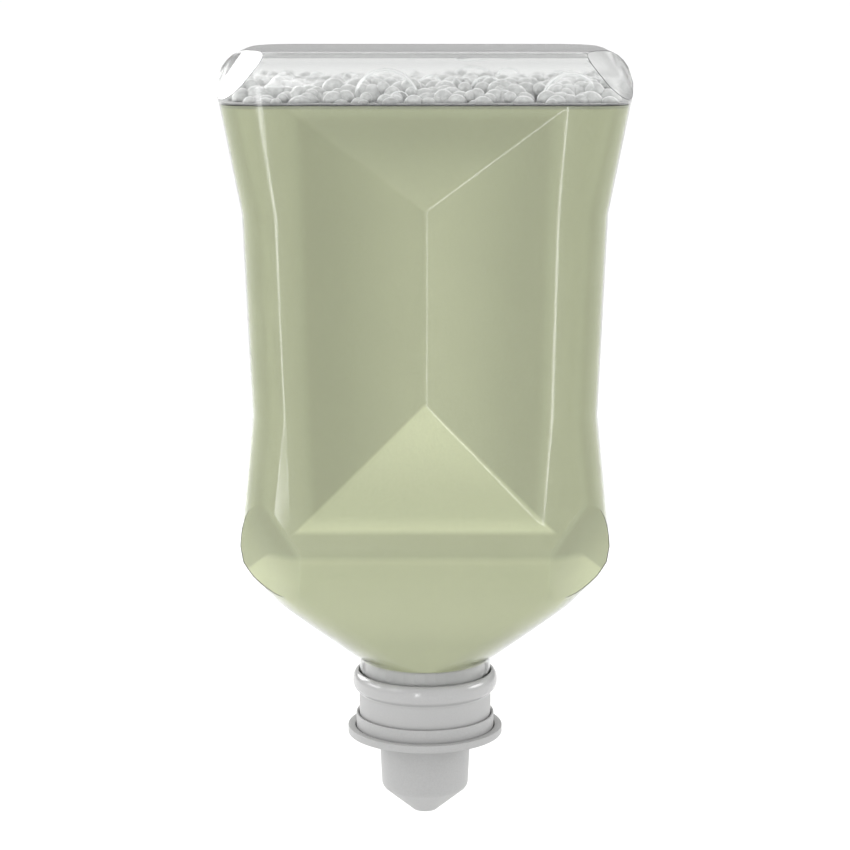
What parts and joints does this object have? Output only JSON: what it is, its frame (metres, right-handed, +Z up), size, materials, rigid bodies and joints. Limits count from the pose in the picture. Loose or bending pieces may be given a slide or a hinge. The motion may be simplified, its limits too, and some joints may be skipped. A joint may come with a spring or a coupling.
{
  "type": "hand soap refill pack",
  "caption": "Clear collapsible bottle of foam hand soap, neck down, with a built-in foam pump, drive flange and pull-off dust cap, for a wall dispenser.",
  "frame": {"origin": "on the axis of the neck, at the seam where the clear neck enters the white collar", "axes": "+Z up, from the pump to the bottle's base; +X across the width; the front faces -Y"},
  "size_m": [0.1266, 0.079, 0.2477],
  "materials": {
    "clear_plastic": "clear, glossy, faintly grained",
    "soap": "pale grey-green liquid, nearly opaque",
    "foam": "pale grey bubbles",
    "white_plastic": "white moulded plastic, satin",
    "natural_plastic": "unpigmented moulded plastic",
    "soft_seal": "soft grey rubber",
    "screen_mesh": "fine plastic mesh"
  },
  "bodies": {
    "pack": {"bottle": "clear_plastic", "soap_fill": "soap", "foam_layer": "foam", "collar": "white_plastic", "neck_gasket": "soft_seal", "pump_body": "natural_plastic", "inlet_valve": "soft_seal"},
    "actuator": {"piston_stem": "natural_plastic", "liquid_seal": "soft_seal", "air_piston": "natural_plastic", "air_valve": "soft_seal", "mixing_insert": "natural_plastic", "outlet_valve": "soft_seal", "upper_screen": "screen_mesh", "screen_sleeve": "natural_plastic", "lower_screen": "screen_mesh", "drive_flange": "white_plastic", "guide_ring": "white_plastic", "nozzle": "white_plastic"},
    "cap": {"dust_cap": "white_plastic"}
  },
  "joints": [
    {"name": "pump_stroke", "type": "slide", "parent": "pack", "child": "actuator", "axis": [0, 0, 1], "range_m": [0, 0.005]},
    {"name": "cap_pull", "type": "slide", "parent": "actuator", "child": "cap", "axis": [0, 0, -1], "range_m": [0, 0.03]}
  ]
}
